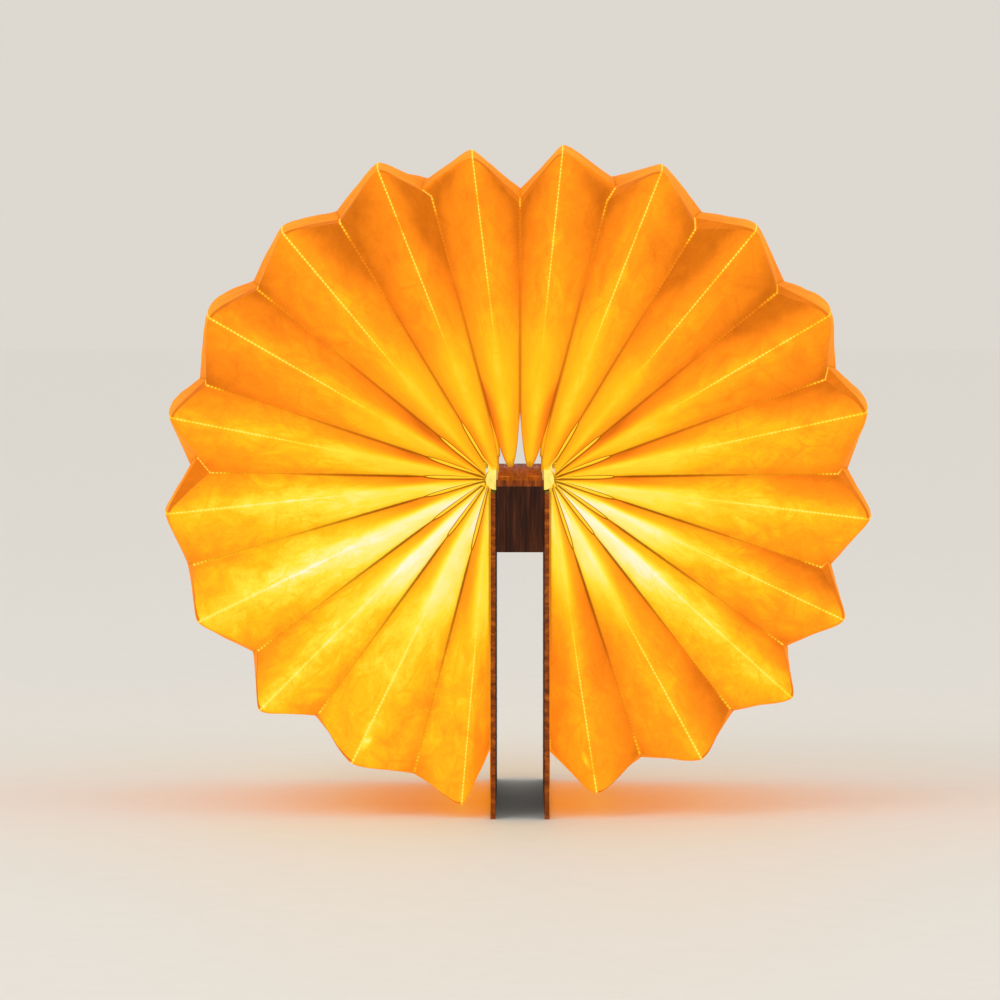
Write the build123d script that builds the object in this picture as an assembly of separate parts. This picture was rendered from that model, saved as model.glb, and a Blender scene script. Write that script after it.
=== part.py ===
"""Folding book lamp, opened the whole way round: two thin wooden covers stand side by side on their
fore-edges, hinged to a hollow wooden spine, and a fan of paper pleats runs from one cover over the
top to the other. Millimetres, +Z up. The spine runs along Y and the origin is at the middle of the
footprint, on the surface that the lamp stands on. Right is +X."""
from build123d import *
from math import cos, radians, sin, sqrt
import os

# covers and hinge lines
LENGTH = 216.0            # covers and spine, along Y
HINGE_X = 15.0            # hinge axes, from the middle plane
HINGE_Z = 170.0           # hinge axes, above the table
COVER_THICK = 2.5
COVER_EDGE = 6.5          # from the hinge axis to the cover's hinge edge
RUNNING_GAP = 0.3         # between pieces that move past each other

# spine
SPINE_WIDTH = 24.0
SPINE_HEIGHT = 36.0       # body and lid together
LID_THICK = 3.0
SIDE_WALL = 2.0
FLOOR = 3.0
END_WALL = 3.0
CABLE_WAY = 6.0           # width of the groove that joins the pockets
CABLE_WAY_DEEP = 5.0

# cell, its contacts and leads
CELL_R = 9.2
CELL_LENGTH = 65.0
CELL_GAP = 0.1            # under the cell
SPRING_LENGTH = 5.9       # contact boss, pressed
CONTACT_THICK = 0.6
CONTACT_SIDE_GAP = 1.0
BOSS_R = 4.5
BOSS_TIP_R = 3.0
LEAD_R = 0.6
LEAD_X = 1.3
LEAD_DROP = 3.5           # leads below the lid
LEAD_HOLE_GAP = 0.4       # round the lead that passes the far contact
LED_LEAD_R = 0.5
LED_LEAD_DROP = 1.4

# charging board and socket
BOARD_POCKET = 25.0
BOARD_THICK = 1.2
BOARD_LENGTH = 23.2
SOCKET_TALL = 8.94
SOCKET_THICK = 3.26
SOCKET_DEEP = 7.35
SOCKET_SHELL = 0.35
SOCKET_GAP = 0.15
SOCKET_ABOVE_FLOOR = 13.0
TONGUE_TALL = 6.7
TONGUE_THICK = 0.7
TONGUE_SHORT = 1.0        # the tongue ends this far inside the mouth
# chips on the board: along Y and up from its corner, then length, height and thickness
CHIPS = ((4.0, 4.0, 5.0, 5.0, 1.2), (12.0, 4.0, 6.0, 6.0, 2.8), (5.0, 14.0, 3.0, 3.0, 0.8),
         (13.0, 15.0, 6.0, 4.0, 1.0))
SENSOR_SIZE = (1.5, 4.0, 3.0)
SENSOR_DROP = 12.0        # the sensor and its magnet, below the hinge axis

# hinges
HINGE_Y = 60.0            # hinges, from the middle
LEAF_WIDTH = 24.0
LEAF_THICK = 1.0
LEAF_HEIGHT = 18.0
KNUCKLE_R = 2.4
KNUCKLE_MIDDLE = 12.0     # the spine's knuckle
KNUCKLE_GAP = 0.2
PIN_R = 1.2
PIN_RUN = 0.05            # radial, in the cover's knuckles
PIN_FIT = 0.02            # radial, in the spine's knuckle

# screws
SCREW_SPREAD = 8.0        # leaf screws, either side of the hinge's middle
LEAF_HEAD_R = 1.7
LEAF_HEAD_DEEP = 0.8
LEAF_SHANK_R = 0.8
SPINE_SCREW_LENGTH = 7.0
COVER_SCREW_LENGTH = 2.0
LID_SCREW_X = 7.5
LID_HEAD_R = 2.6
LID_HEAD_DEEP = 1.4
LID_SHANK_R = 1.3
LID_SCREW_LENGTH = 11.0
SCREW_GAP = 0.05

# light
RAIL_THICK = 0.8
RAIL_HEIGHT = 10.5
RAIL_RISE = 5.0           # the rail above the lid
RAIL_FROM_HINGE = 4.0     # from a hinge leaf to the next rail
BAR_R = 5.0               # half-round diffuser
STRIP_THICK = 0.3
STRIP_WIDTH = 8.0
LED_SIZE = (0.7, 3.5, 2.8)
LED_PITCH = 10.0
STRIP_GAP = 0.3
BAR_CAP = 1.0             # closed ends of the diffuser

# magnets
MAGNET_R = 3.5
MAGNET_THICK = 1.5
MAGNET_GAP = 1.5          # below the cover's hinge leaf
SENSOR_MAGNET_R = 2.5

# shade
SHADE_FROM_END = 4.0      # paper and light, in from the covers' ends
PAPER = 0.3
PANEL_SPARE = 0.2         # what a panel is wider than half the widest pleat
CREST_R = 163.5           # hinge axis to the crests' tips
BULGE = 5.5               # how far the crests bow out at mid-length
TIP_ROUND = 1.5
HUB_CREST_R = 5.0         # where the side crests begin
HUB_VALLEY_R = 33.0       # where the valleys begin
TOP_CREST_R = 8.5         # where the two uppermost pleats on each side begin
VALLEY_BEVEL = 9.0        # the valleys' bevelled corners
VALLEY_GAP = 0.3
END_STEPS = 4             # stretches of a pleat's end, from the hub to its bevel
FLAP_CLEAR = 2.0          # the flaps above the table
# crests, in degrees from straight down, from the cover upwards
LEFT_CRESTS = (5.0, 26.0, 45.0, 64.0, 84.0, 101.0, 120.0, 140.0, 158.5, 173.0)
RIGHT_CRESTS = (8.5, 28.5, 48.0, 64.5, 83.0, 102.0, 120.5, 140.5, 158.5, 174.0)
SECOND_CREST_X = 10.0     # from the middle plane to where the two uppermost crests' lines start
TOP_CREST_X = 4.0

# what follows from them
CREST_ROOTS = (HINGE_X,) * 8 + (SECOND_CREST_X, TOP_CREST_X)
HALF_LENGTH = LENGTH / 2
HALF_SPINE = SPINE_WIDTH / 2
HALF_SHADE = HALF_LENGTH - SHADE_FROM_END
SPINE_TOP = HINGE_Z
BODY_TOP = SPINE_TOP - LID_THICK
SPINE_BOTTOM = SPINE_TOP - SPINE_HEIGHT
POCKET_FLOOR = SPINE_BOTTOM + FLOOR
HALF_POCKET = HALF_SPINE - SIDE_WALL
CELL_POCKET = CELL_LENGTH / 2 + SPRING_LENGTH + CONTACT_THICK
BOARD_END = HALF_LENGTH - END_WALL
BOARD_START = BOARD_END - BOARD_POCKET
COVER_OUTSIDE = HALF_SPINE + RUNNING_GAP
COVER_INSIDE = COVER_OUTSIDE + COVER_THICK
COVER_TOP = HINGE_Z - COVER_EDGE
LEAF_Y = LEAF_WIDTH / 2
RAIL_BOTTOM = SPINE_TOP + RAIL_RISE - RAIL_HEIGHT
MAGNET_Z = COVER_TOP - LEAF_HEIGHT - MAGNET_GAP - MAGNET_R
SENSOR_Z = HINGE_Z - SENSOR_DROP
SENSOR_Y = (BOARD_START + BOARD_END) / 2
SOCKET_Z = POCKET_FLOOR + SOCKET_ABOVE_FLOOR
SOCKET_X = (BOARD_THICK + SOCKET_THICK) / 2
HINGES = (-HINGE_Y, HINGE_Y)
WIDEST_PLEAT = max(after - before for angles in (LEFT_CRESTS, RIGHT_CRESTS)
                   for before, after in zip(angles, angles[1:]))
PANEL = (CREST_R + BULGE) * sin(radians(WIDEST_PLEAT / 2)) + PANEL_SPARE    # from crest to valley


# ---- small helpers ----

def span(x, y, z):
    """Box between two limits on each axis, given in either order."""
    lows = [min(limits) for limits in (x, y, z)]
    sizes = [max(limits) - min(limits) for limits in (x, y, z)]
    return Pos(*lows) * Box(*sizes, align=(Align.MIN,) * 3)


def rod_y(radius, x, y, z):
    """Round rod along Y, between two Y limits."""
    rod = Cylinder(radius, y[1] - y[0], align=(Align.CENTER, Align.CENTER, Align.MIN))
    return Pos(x, y[0], z) * Rot(X=-90) * rod


def disc_x(radius, x, y, z):
    """Round disc along X, between two X limits."""
    disc = Cylinder(radius, x[1] - x[0], align=(Align.CENTER, Align.CENTER, Align.MIN))
    return Pos(x[0], y, z) * Rot(Y=90) * disc


def screw(head_r, head_deep, shank_r, length, gap=0.0):
    """Countersunk screw with its flat head up at the origin, grown by a gap where it cuts its hole."""
    low_end = (Align.CENTER, Align.CENTER, Align.MAX)
    head = Cone(shank_r + gap, head_r + gap, head_deep, align=low_end)
    return head + Cylinder(shank_r + gap, length + gap, align=low_end)


def leaf_screws(face_x, top, length, gap=0.0):
    """The screws of the right-hand side's two hinge leaves, driven inwards from the face."""
    one = Rot(Y=90) * screw(LEAF_HEAD_R, LEAF_HEAD_DEEP, LEAF_SHANK_R, length, gap)
    z = top - LEAF_HEIGHT / 2
    return [Pos(face_x, hinge + shift, z) * one
            for hinge in HINGES for shift in (-SCREW_SPREAD, SCREW_SPREAD)]


def for_side(side, shapes):
    """Pieces drawn on the right, mirrored where the side is -1."""
    if side > 0:
        return shapes
    return [mirror(shape, Plane.YZ) for shape in shapes]


def write(name, shapes):
    solids = [solid for shape in shapes for solid in shape.solids()]
    shape = solids[0] if len(solids) == 1 else Compound(children=solids)
    export_step(shape, f"parts/{name}.step")


# ---- spine ----

def rail_spans():
    """Y limits of the light's three stretches, between the hinges and beside them."""
    inner = HINGE_Y - LEAF_Y - RAIL_FROM_HINGE
    outer = HINGE_Y + LEAF_Y + RAIL_FROM_HINGE
    end = HALF_SHADE
    return (-end, -outer), (-inner, inner), (outer, end)


def side_seats():
    """What the sides of the spine give up for the hinge leaves and the light rails."""
    seats = [span((HALF_SPINE - LEAF_THICK, HALF_SPINE), (hinge - LEAF_Y, hinge + LEAF_Y),
                  (SPINE_TOP - LEAF_HEIGHT, SPINE_TOP)) for hinge in HINGES]
    seats += [span((HALF_SPINE - RAIL_THICK, HALF_SPINE), stretch, (RAIL_BOTTOM, SPINE_TOP))
              for stretch in rail_spans()]
    return seats + [mirror(seat, Plane.YZ) for seat in seats]


def lid_screws(gap=0.0):
    one = screw(LID_HEAD_R, LID_HEAD_DEEP, LID_SHANK_R, LID_SCREW_LENGTH, gap)
    return [Pos(x, y, SPINE_TOP) * one for x in (-LID_SCREW_X, LID_SCREW_X) for y in HINGES]


def spine_body():
    across = (-HALF_POCKET, HALF_POCKET)
    body = span((-HALF_SPINE, HALF_SPINE), (-HALF_LENGTH, HALF_LENGTH), (SPINE_BOTTOM, BODY_TOP))
    body -= span(across, (-CELL_POCKET, CELL_POCKET), (POCKET_FLOOR, BODY_TOP))
    body -= span(across, (BOARD_START, BOARD_END), (POCKET_FLOOR, BODY_TOP))
    body -= span((-CABLE_WAY / 2, CABLE_WAY / 2), (-CELL_POCKET, BOARD_END),
                 (BODY_TOP - CABLE_WAY_DEEP, BODY_TOP))
    body -= span((SOCKET_X - SOCKET_THICK / 2 - SOCKET_GAP, SOCKET_X + SOCKET_THICK / 2 + SOCKET_GAP),
                 (BOARD_END, HALF_LENGTH),
                 (SOCKET_Z - SOCKET_TALL / 2 - SOCKET_GAP, SOCKET_Z + SOCKET_TALL / 2 + SOCKET_GAP))
    body -= disc_x(LED_LEAD_R + SCREW_GAP, (-HALF_SPINE, HALF_SPINE), SENSOR_Y, BODY_TOP - LED_LEAD_DROP)
    for seat in side_seats() + keeper_magnets() + lid_screws(SCREW_GAP):
        body -= seat
    for side in (1, -1):
        for hole in for_side(side, spine_leaf_screws(SCREW_GAP)):
            body -= hole
    return [body]


def spine_lid():
    lid = span((-HALF_SPINE, HALF_SPINE), (-HALF_LENGTH, HALF_LENGTH), (BODY_TOP, SPINE_TOP))
    for seat in side_seats() + lid_screws(SCREW_GAP):
        lid -= seat
    return [lid]


def keeper_magnets():
    """Magnets in the spine's sides that hold the covers when they are folded back."""
    right = [disc_x(MAGNET_R, (HALF_SPINE - MAGNET_THICK, HALF_SPINE), y, MAGNET_Z) for y in HINGES]
    return right + for_side(-1, right)


# ---- what the spine holds ----

def cell():
    z = POCKET_FLOOR + CELL_GAP + CELL_R
    return [rod_y(CELL_R, 0, (-CELL_LENGTH / 2, CELL_LENGTH / 2), z)]


def battery_contacts():
    """Spring plates at both ends of the cell; their tops carry the leads."""
    z = POCKET_FLOOR + CELL_GAP + CELL_R
    start = CELL_LENGTH / 2
    half_plate = HALF_POCKET - CONTACT_SIDE_GAP
    plate = span((-half_plate, half_plate), (start + SPRING_LENGTH, CELL_POCKET),
                 (POCKET_FLOOR, BODY_TOP - CELL_GAP))
    boss = Cone(BOSS_R, BOSS_TIP_R, SPRING_LENGTH, align=(Align.CENTER, Align.CENTER, Align.MIN))
    contact = plate + Pos(0, start + SPRING_LENGTH, z) * Rot(X=90) * boss
    passing_lead = rod_y(LEAD_R + LEAD_HOLE_GAP, -LEAD_X, (start + SPRING_LENGTH, CELL_POCKET),
                         BODY_TOP - LEAD_DROP)
    return [contact - passing_lead, mirror(contact, Plane.XZ)]


def battery_leads():
    """Two leads through the cable way, each from its contact to its face of the board."""
    z = BODY_TOP - LEAD_DROP
    end = BOARD_START + BOARD_POCKET / 4
    far_contact = CELL_POCKET
    near_contact = -CELL_POCKET + CONTACT_THICK
    hole_side = rod_y(LEAD_R, LEAD_X, (far_contact, end), z)
    long_side = rod_y(LEAD_R, -LEAD_X, (near_contact, end), z)
    return [hole_side, long_side]


def control_board():
    face = -BOARD_THICK / 2
    corner_y = BOARD_END - BOARD_LENGTH
    board = span((face, -face), (corner_y, BOARD_END), (POCKET_FLOOR, BODY_TOP - CELL_GAP))
    for along, up, length, height, thick in CHIPS:
        board += span((face - thick, face), (corner_y + along, corner_y + along + length),
                      (POCKET_FLOOR + up, POCKET_FLOOR + up + height))
    return [board]


def usb_socket():
    """Charging socket on the board's right face, with its mouth flush in the far end of the spine."""
    x = (SOCKET_X - SOCKET_THICK / 2, SOCKET_X + SOCKET_THICK / 2)
    y = (HALF_LENGTH - SOCKET_DEEP, HALF_LENGTH)
    z = (SOCKET_Z - SOCKET_TALL / 2, SOCKET_Z + SOCKET_TALL / 2)
    shell = span(x, y, z)
    shell -= span((x[0] + SOCKET_SHELL, x[1] - SOCKET_SHELL), (y[0] + SOCKET_SHELL, y[1]),
                  (z[0] + SOCKET_SHELL, z[1] - SOCKET_SHELL))
    tongue = span((SOCKET_X - TONGUE_THICK / 2, SOCKET_X + TONGUE_THICK / 2),
                  (y[0], y[1] - TONGUE_SHORT),
                  (SOCKET_Z - TONGUE_TALL / 2, SOCKET_Z + TONGUE_TALL / 2))
    return [shell + tongue]


def opening_sensor():
    """Magnetic switch on the inner wall, beside the right cover's small magnet."""
    deep, wide, tall = SENSOR_SIZE
    return [span((HALF_POCKET - deep, HALF_POCKET), (SENSOR_Y - wide / 2, SENSOR_Y + wide / 2),
                 (SENSOR_Z - tall / 2, SENSOR_Z + tall / 2))]


def led_leads():
    z = BODY_TOP - LED_LEAD_DROP
    right = disc_x(LED_LEAD_R, (BOARD_THICK / 2, HALF_SPINE - RAIL_THICK), SENSOR_Y, z)
    return [right, mirror(right, Plane.YZ)]


# ---- light, on the right-hand side ----

def led_rail():
    return [span((HALF_SPINE - RAIL_THICK, HALF_SPINE), stretch, (RAIL_BOTTOM, SPINE_TOP + RAIL_RISE))
            for stretch in rail_spans()]


def led_strip():
    """Flexible strip with its light sources, in the diffuser's pocket."""
    deep, wide, tall = LED_SIZE
    pieces = []
    for start, end in rail_spans():
        start, end = start + BAR_CAP + STRIP_GAP, end - BAR_CAP - STRIP_GAP
        piece = span((HALF_SPINE, HALF_SPINE + STRIP_THICK), (start, end),
                     (SPINE_TOP - STRIP_WIDTH / 2, SPINE_TOP + STRIP_WIDTH / 2))
        count = int((end - start) // LED_PITCH)
        middle = (start + end) / 2
        for index in range(count):
            y = middle + (index - (count - 1) / 2) * LED_PITCH
            piece += span((HALF_SPINE + STRIP_THICK, HALF_SPINE + STRIP_THICK + deep),
                          (y - wide / 2, y + wide / 2), (SPINE_TOP - tall / 2, SPINE_TOP + tall / 2))
        pieces.append(piece)
    return pieces


def light_bar():
    """Half-round frosted bars with their flat backs against the rails."""
    pocket_deep = STRIP_THICK + LED_SIZE[0] + STRIP_GAP
    half_pocket = STRIP_WIDTH / 2 + STRIP_GAP
    pieces = []
    for start, end in rail_spans():
        bar = rod_y(BAR_R, HALF_SPINE, (start, end), SPINE_TOP)
        bar -= span((HALF_SPINE - BAR_R, HALF_SPINE), (start, end), (SPINE_TOP - BAR_R, SPINE_TOP + BAR_R))
        bar -= span((HALF_SPINE, HALF_SPINE + pocket_deep), (start + BAR_CAP, end - BAR_CAP),
                    (SPINE_TOP - half_pocket, SPINE_TOP + half_pocket))
        pieces.append(bar)
    return pieces


# ---- hinges, on the right-hand side ----

def spine_leaf_screws(gap=0.0):
    return leaf_screws(HALF_SPINE, SPINE_TOP, SPINE_SCREW_LENGTH, gap)


def spine_brackets():
    """Leaves let into the spine's side, each with the middle knuckle."""
    pieces = []
    half = KNUCKLE_MIDDLE / 2
    for hinge in HINGES:
        leaf = span((HALF_SPINE - LEAF_THICK, HALF_SPINE), (hinge - LEAF_Y, hinge + LEAF_Y),
                    (SPINE_TOP - LEAF_HEIGHT, SPINE_TOP))
        leaf += span((HALF_SPINE - LEAF_THICK, HINGE_X), (hinge - half, hinge + half),
                     (SPINE_TOP - KNUCKLE_R, SPINE_TOP))
        leaf += rod_y(KNUCKLE_R, HINGE_X, (hinge - half, hinge + half), HINGE_Z)
        leaf -= rod_y(PIN_R + PIN_FIT, HINGE_X, (hinge - half, hinge + half), HINGE_Z)
        for hole in spine_leaf_screws(SCREW_GAP):
            leaf -= hole
        pieces.append(leaf)
    return pieces


def hinge_pins():
    return [rod_y(PIN_R, HINGE_X, (hinge - LEAF_Y, hinge + LEAF_Y), HINGE_Z) for hinge in HINGES]


def cover_leaf_screws(gap=0.0):
    return leaf_screws(COVER_INSIDE, COVER_TOP, COVER_SCREW_LENGTH, gap)


def cover_leaves():
    """Leaves let into the cover's inside face, each with the two outer knuckles."""
    pieces = []
    inner = KNUCKLE_MIDDLE / 2 + KNUCKLE_GAP
    for hinge in HINGES:
        leaf = span((COVER_INSIDE - LEAF_THICK, COVER_INSIDE), (hinge - LEAF_Y, hinge + LEAF_Y),
                    (COVER_TOP - LEAF_HEIGHT, COVER_TOP))
        for y in ((hinge - LEAF_Y, hinge - inner), (hinge + inner, hinge + LEAF_Y)):
            leaf += span((COVER_INSIDE - LEAF_THICK, COVER_INSIDE), y, (COVER_TOP, HINGE_Z))
            leaf += rod_y(KNUCKLE_R, HINGE_X, y, HINGE_Z)
            leaf -= rod_y(PIN_R + PIN_RUN, HINGE_X, y, HINGE_Z)
        for hole in cover_leaf_screws(SCREW_GAP):
            leaf -= hole
        pieces.append(leaf)
    return pieces


# ---- covers, on the right-hand side ----

def cover_magnets():
    return [disc_x(MAGNET_R, (COVER_INSIDE - MAGNET_THICK, COVER_INSIDE), y, MAGNET_Z) for y in HINGES]


def sensor_magnet():
    return [disc_x(SENSOR_MAGNET_R, (COVER_INSIDE - MAGNET_THICK, COVER_INSIDE), SENSOR_Y, SENSOR_Z)]


def cover(side):
    board = span((COVER_OUTSIDE, COVER_INSIDE), (-HALF_LENGTH, HALF_LENGTH), (0, COVER_TOP))
    for hinge in HINGES:
        board -= span((COVER_INSIDE - LEAF_THICK, COVER_INSIDE), (hinge - LEAF_Y, hinge + LEAF_Y),
                      (COVER_TOP - LEAF_HEIGHT, COVER_TOP))
    for seat in cover_magnets() + cover_leaf_screws(SCREW_GAP):
        board -= seat
    if side > 0:
        board -= sensor_magnet()[0]
    return [board]


def shade_flap():
    """Paper glued over the cover's inside face, where the first pleat starts."""
    return [span((COVER_INSIDE, COVER_INSIDE + PAPER), (-HALF_SHADE, HALF_SHADE), (FLAP_CLEAR, COVER_TOP))]


# ---- pleats ----

def spoke_point(spoke, radius, y):
    """Point at a radius on a spoke, a pair of its root's distance from the middle and its angle."""
    root, angle = spoke
    turn = radians(angle)
    return Vector(root + radius * sin(turn), y, HINGE_Z - radius * cos(turn))


def crest_spokes(angles):
    return list(zip(CREST_ROOTS, angles))


def valley_spokes(angles):
    """The valleys lie midway between the crests, on the cover's flap and on the middle plane."""
    crests = crest_spokes(angles)
    valleys = [(COVER_INSIDE + PAPER + VALLEY_GAP / 2, 0.0)]
    for (root, angle), (next_root, next_angle) in zip(crests, crests[1:]):
        valleys.append(((root + next_root) / 2, (angle + next_angle) / 2))
    return valleys + [(0.0, 180.0)]


def half_width(crests, valley, radius):
    """Mean distance from a valley to the crests beside it, at one radius."""
    foot = spoke_point(valley, radius, 0)
    widths = [(spoke_point(crest, radius, 0) - foot).length for crest in crests]
    return sum(widths) / len(widths)


def fold_depth(crests, valley, radius):
    """How far the valley lies inside the end of the shade, for panels of the stated width."""
    return sqrt(PANEL ** 2 - half_width(crests, valley, radius) ** 2)


def valley_radius(crests, valley, crest_radius):
    """Where the valley lies on its spoke along the fore-edge, for panels of the stated width."""
    root = spoke_point(valley, 0, 0)
    along = spoke_point(valley, 1, 0) - root
    radii = []
    for crest in crests:
        reach = spoke_point(crest, crest_radius, 0) - root
        ahead = reach.dot(along)
        aside = (reach - along * ahead).length
        radii.append(ahead - sqrt(PANEL ** 2 - aside ** 2))
    return sum(radii) / len(radii)


def crest_radius_at(y):
    return CREST_R + BULGE * (1 - (y / HALF_SHADE) ** 2)


def fold_sections(crest, sides, hub_radius):
    """Crest point and both valley points of each section, from the near end's hub to mid-length.
    Each side is a pair of its valley spoke and the crests beside it."""
    end = -HALF_SHADE

    def section(crest_r, crest_y, valley_point):
        return [spoke_point(crest, crest_r, crest_y)] + [valley_point(*side) for side in sides]

    def in_end(radius):
        return lambda valley, beside: spoke_point(valley, radius, end + fold_depth(beside, valley, radius))

    def at_bevel(valley, beside):
        radius = valley_radius(beside, valley, CREST_R) - VALLEY_BEVEL
        return spoke_point(valley, radius, end + fold_depth(beside, valley, radius))

    def in_side(y, crest_r):
        return lambda valley, beside: spoke_point(valley, valley_radius(beside, valley, crest_r), y)

    sections = [section(hub_radius, end, in_end(HUB_VALLEY_R))]
    for step in range(1, END_STEPS):
        radius = HUB_VALLEY_R + (CREST_R - PANEL - HUB_VALLEY_R) * step / END_STEPS
        sections.append(section(radius, end, in_end(radius)))
    sections.append(section(CREST_R - TIP_ROUND, end, at_bevel))
    sections.append(section(CREST_R, end + TIP_ROUND, in_side(end + PANEL, CREST_R)))
    for y in (-HALF_SHADE / 2, 0):
        sections.append(section(crest_radius_at(y), y, in_side(y, crest_radius_at(y))))
    return sections


def chevron(crest, first, second):
    """Six corners of the folded paper's section, its thickness laid inside the fold."""
    to_first = (first - crest).normalized()
    to_second = (second - crest).normalized()
    inward_first = (to_second - to_first * to_second.dot(to_first)).normalized()
    inward_second = (to_first - to_second * to_first.dot(to_second)).normalized()
    middle = (to_first + to_second).normalized()
    inner_crest = crest + middle * (PAPER / middle.dot(inward_first))
    first = first + inward_first * (VALLEY_GAP / 2)
    second = second + inward_second * (VALLEY_GAP / 2)
    return [first, crest, second, second + inward_second * PAPER, inner_crest, first + inward_first * PAPER]


def mirrored_facet(facet):
    """The facet's mirror image at the far end, with its outside still outside."""
    return [Vector(point.X, -point.Y, point.Z) for point in reversed(facet)]


def facets_between(near, far):
    """Flat triangles between matching corners. Each panel's diagonal starts at its crest, inside and
    out, so that the paper keeps its thickness where a panel is twisted."""
    crest_corners = (1, 4)
    facets = []
    for corner in range(len(near)):
        following = (corner + 1) % len(near)
        if following in crest_corners:
            facets.append((far[corner], near[following], near[corner]))
            facets.append((far[corner], far[following], near[following]))
        else:
            facets.append((far[following], near[following], near[corner]))
            facets.append((far[corner], far[following], near[corner]))
    return facets


def end_facets(section):
    first, crest, second, inner_second, inner_crest, inner_first = section
    return [(first, crest, inner_crest), (first, inner_crest, inner_first),
            (crest, second, inner_second), (crest, inner_second, inner_crest)]


def pleat(side, angles, index):
    """One fold of the shade: up the near end, along the fore-edge and back down the far end."""
    crests = crest_spokes(angles)
    valleys = valley_spokes(angles)
    sides = [(valleys[index], crests[max(index - 1, 0):index + 1]),
             (valleys[index + 1], crests[index:index + 2])]
    hub_radius = TOP_CREST_R if crests[index][0] < HINGE_X else HUB_CREST_R
    sections = [chevron(*section) for section in fold_sections(crests[index], sides, hub_radius)]
    facets = end_facets(sections[0])
    for near, far in zip(sections, sections[1:]):
        facets += facets_between(near, far)
    facets += [mirrored_facet(facet) for facet in facets]
    solid = Solid(Shell([Face(Wire.make_polygon(facet)) for facet in facets]))
    return for_side(side, [solid])


# ---- files ----

os.makedirs("parts", exist_ok=True)

write("spine_body", spine_body())
write("spine_lid", spine_lid())
write("lid_screws", lid_screws())
write("keeper_magnets", keeper_magnets())
write("battery_cell", cell())
write("battery_contacts", battery_contacts())
write("battery_leads", battery_leads())
write("control_board", control_board())
write("usb_socket", usb_socket())
write("opening_sensor", opening_sensor())
write("led_leads", led_leads())
write("sensor_magnet", sensor_magnet())

for name, side, angles in (("left", -1, LEFT_CRESTS), ("right", 1, RIGHT_CRESTS)):
    write(f"led_rail_{name}", for_side(side, led_rail()))
    write(f"led_strip_{name}", for_side(side, led_strip()))
    write(f"light_bar_{name}", for_side(side, light_bar()))
    write(f"spine_brackets_{name}", for_side(side, spine_brackets()))
    write(f"spine_bracket_screws_{name}", for_side(side, spine_leaf_screws()))
    write(f"hinge_pins_{name}", for_side(side, hinge_pins()))
    write(f"cover_leaves_{name}", for_side(side, cover_leaves()))
    write(f"cover_leaf_screws_{name}", for_side(side, cover_leaf_screws()))
    write(f"cover_magnets_{name}", for_side(side, cover_magnets()))
    write(f"cover_{name}", for_side(side, cover(side)))
    write(f"shade_flap_{name}", for_side(side, shade_flap()))
    for index in range(len(angles)):
        write(f"pleat_{name}_{index + 1:02d}", pleat(side, angles, index))
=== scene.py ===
import math
import bpy
import bmesh
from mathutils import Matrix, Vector, noise


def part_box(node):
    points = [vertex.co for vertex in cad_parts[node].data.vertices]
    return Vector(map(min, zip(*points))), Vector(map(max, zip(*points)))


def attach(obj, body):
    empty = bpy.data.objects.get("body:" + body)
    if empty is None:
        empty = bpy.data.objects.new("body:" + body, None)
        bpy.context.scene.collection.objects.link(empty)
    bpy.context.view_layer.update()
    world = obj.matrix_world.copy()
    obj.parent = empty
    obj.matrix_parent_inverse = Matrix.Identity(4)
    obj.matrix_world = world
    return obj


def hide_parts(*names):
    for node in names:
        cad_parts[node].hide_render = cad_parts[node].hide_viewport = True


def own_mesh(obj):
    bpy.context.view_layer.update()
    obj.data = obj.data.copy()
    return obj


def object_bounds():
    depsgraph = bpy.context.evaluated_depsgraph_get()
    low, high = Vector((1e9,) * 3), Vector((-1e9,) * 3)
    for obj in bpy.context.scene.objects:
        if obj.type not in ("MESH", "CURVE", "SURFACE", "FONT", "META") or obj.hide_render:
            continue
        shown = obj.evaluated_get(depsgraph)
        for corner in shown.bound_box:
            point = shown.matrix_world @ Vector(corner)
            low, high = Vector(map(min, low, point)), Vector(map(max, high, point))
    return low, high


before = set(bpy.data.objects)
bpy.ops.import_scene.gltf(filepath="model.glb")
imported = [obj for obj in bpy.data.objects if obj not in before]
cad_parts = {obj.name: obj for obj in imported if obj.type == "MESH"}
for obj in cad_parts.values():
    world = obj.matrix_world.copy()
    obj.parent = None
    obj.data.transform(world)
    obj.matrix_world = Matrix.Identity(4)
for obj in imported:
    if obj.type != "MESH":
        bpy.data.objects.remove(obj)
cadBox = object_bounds()
print("frame loaded")

# where the shade hangs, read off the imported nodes
pinLow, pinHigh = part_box("hinge_pins_right")
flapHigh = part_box("shade_flap_right")[1]
barLow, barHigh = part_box("light_bar_right")
hingeX = (pinLow.x + pinHigh.x) / 2
hingeZ = (pinLow.z + pinHigh.z) / 2
halfShade = flapHigh.y
flapFace = flapHigh.x


def smooth(low, high, value):
    share = min(1.0, max(0.0, (value - low) / (high - low)))
    return share * share * (3 - 2 * share)


def mix(first, second, share):
    return first + (second - first) * share


def hill(value, peak, width):
    return math.exp(-((value - peak) / width) ** 2)


def srgb(red, green, blue):
    def straight(value):
        value /= 255
        return value / 12.92 if value <= 0.04045 else ((value + 0.055) / 1.055) ** 2.4
    return (straight(red), straight(green), straight(blue), 1.0)


def newMaterial(name):
    material = bpy.data.materials.new(name)
    material.use_nodes = True
    tree = material.node_tree
    return material, tree, tree.nodes["Principled BSDF"]


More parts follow.
